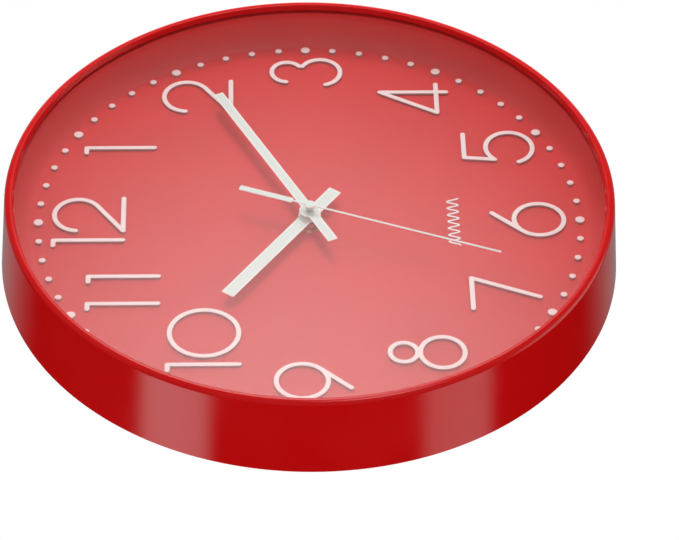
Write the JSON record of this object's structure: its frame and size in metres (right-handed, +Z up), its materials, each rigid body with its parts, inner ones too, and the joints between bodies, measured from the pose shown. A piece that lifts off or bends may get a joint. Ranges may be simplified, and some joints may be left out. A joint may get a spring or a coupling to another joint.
{
  "type": "wall clock",
  "caption": "Round quartz wall clock: flared ring case, flat lens, dished dial with raised numerals, three hands, battery movement and keyhole hanger.",
  "frame": {"origin": "where the nail that carries the clock leaves the wall: the top end of the hanger's keyhole, in the plane of the case's rear rim; the dial's axis is 102 mm below it", "axes": "+Z up, towards the numeral 12; -Y out of the face, towards the viewer; +X towards the numeral 3; the wall is the plane y = 0"},
  "size_m": [0.3, 0.0415, 0.3],
  "materials": {
    "case_red": "gloss",
    "lens_clear": "polished",
    "dial_red": "satin",
    "numeral_white": "satin",
    "hand_white": "satin paint",
    "brass": "turned",
    "washer_rubber": "matt",
    "case_black": "fine spark texture",
    "train_plastic": "natural acetal",
    "magnet": "ground",
    "steel": "bright",
    "zinc_steel": "zinc plated",
    "copper": "enamelled copper wire",
    "board_green": "solder mask",
    "chip_black": "epoxy bead",
    "cell_jacket": "printed sleeve"
  },
  "bodies": {
    "clock_body": {"case_ring": "case_red", "lens": "lens_clear", "dial_pan": "dial_red", "numeral_1": "numeral_white", "numeral_2": "numeral_white", "numeral_3": "numeral_white", "numeral_4": "numeral_white", "numeral_5": "numeral_white", "numeral_6": "numeral_white", "numeral_7": "numeral_white", "numeral_8": "numeral_white", "numeral_9": "numeral_white", "numeral_10_one": "numeral_white", "numeral_10_zero": "numeral_white", "numeral_11_left": "numeral_white", "numeral_11_right": "numeral_white", "numeral_12_one": "numeral_white", "numeral_12_two": "numeral_white", "dial_mark": "numeral_white", "brass_washer": "brass", "brass_nut": "brass", "rubber_washer": "washer_rubber", "movement_front_case": "case_black", "movement_rear_cover": "case_black", "threaded_stem": "brass", "train_bridge": "train_plastic", "stator": "steel", "coil_core": "steel", "coil_bobbin": "train_plastic", "coil_winding": "copper", "circuit_board": "board_green", "driver_chip": "chip_black", "crystal_can": "steel", "battery_spring": "steel", "battery_plate": "steel", "hanger_plate": "zinc_steel", "hanger_screw_left": "zinc_steel", "hanger_screw_right": "zinc_steel"},
    "seconds": {"seconds_wheel": "steel", "second_hand": "hand_white"},
    "rotor": {"rotor_pinion": "train_plastic", "rotor_magnet": "magnet"},
    "fifth": {"fifth_wheel": "train_plastic"},
    "third": {"third_wheel": "train_plastic"},
    "centre": {"centre_wheel": "train_plastic"},
    "minutes": {"minute_tube": "brass", "minute_hand": "hand_white"},
    "minute_wheel": {"minute_wheel": "train_plastic"},
    "hours": {"hour_wheel": "train_plastic", "hour_hand": "hand_white"},
    "setting": {"setting_shaft": "train_plastic", "setting_knob": "case_black"},
    "battery": {"battery": "cell_jacket"}
  },
  "joints": [
    {"name": "second_turn", "type": "hinge", "parent": "clock_body", "child": "seconds", "pos_m": [0, -0.02, -0.102], "axis": [0, 1, 0], "continuous": true},
    {"name": "rotor_turn", "type": "hinge", "parent": "clock_body", "child": "rotor", "pos_m": [0.01161, -0.006, -0.09499], "axis": [0, 1, 0], "continuous": true},
    {"name": "fifth_turn", "type": "hinge", "parent": "clock_body", "child": "fifth", "pos_m": [0.00405, -0.006, -0.09499], "axis": [0, 1, 0], "continuous": true},
    {"name": "third_turn", "type": "hinge", "parent": "clock_body", "child": "third", "pos_m": [-0.00764, -0.01, -0.09436], "axis": [0, 1, 0], "continuous": true},
    {"name": "centre_turn", "type": "hinge", "parent": "clock_body", "child": "centre", "pos_m": [0, -0.011, -0.102], "axis": [0, 1, 0], "continuous": true},
    {"name": "minute_turn", "type": "hinge", "parent": "clock_body", "child": "minutes", "pos_m": [0, -0.02, -0.102], "axis": [0, 1, 0], "continuous": true},
    {"name": "minute_wheel_turn", "type": "hinge", "parent": "clock_body", "child": "minute_wheel", "pos_m": [0, -0.013, -0.11], "axis": [0, 1, 0], "continuous": true},
    {"name": "hour_turn", "type": "hinge", "parent": "clock_body", "child": "hours", "pos_m": [0, -0.02, -0.102], "axis": [0, 1, 0], "continuous": true},
    {"name": "setting_turn", "type": "hinge", "parent": "clock_body", "child": "setting", "pos_m": [0.009, -0.008, -0.11], "axis": [0, 1, 0], "continuous": true},
    {"name": "battery_slide", "type": "slide", "parent": "clock_body", "child": "battery", "axis": [0, 1, 0], "range_m": [0, 0.018]}
  ],
  "couplings": [
    {"joint": "rotor_turn", "follows": "second_turn", "ratio": 30},
    {"joint": "fifth_turn", "follows": "second_turn", "ratio": -5},
    {"joint": "third_turn", "follows": "second_turn", "ratio": -0.125},
    {"joint": "centre_turn", "follows": "second_turn", "ratio": 0.016667},
    {"joint": "minute_wheel_turn", "follows": "minute_turn", "ratio": -0.33333},
    {"joint": "hour_turn", "follows": "minute_turn", "ratio": 0.083333},
    {"joint": "setting_turn", "follows": "minute_turn", "ratio": 0.66667}
  ]
}
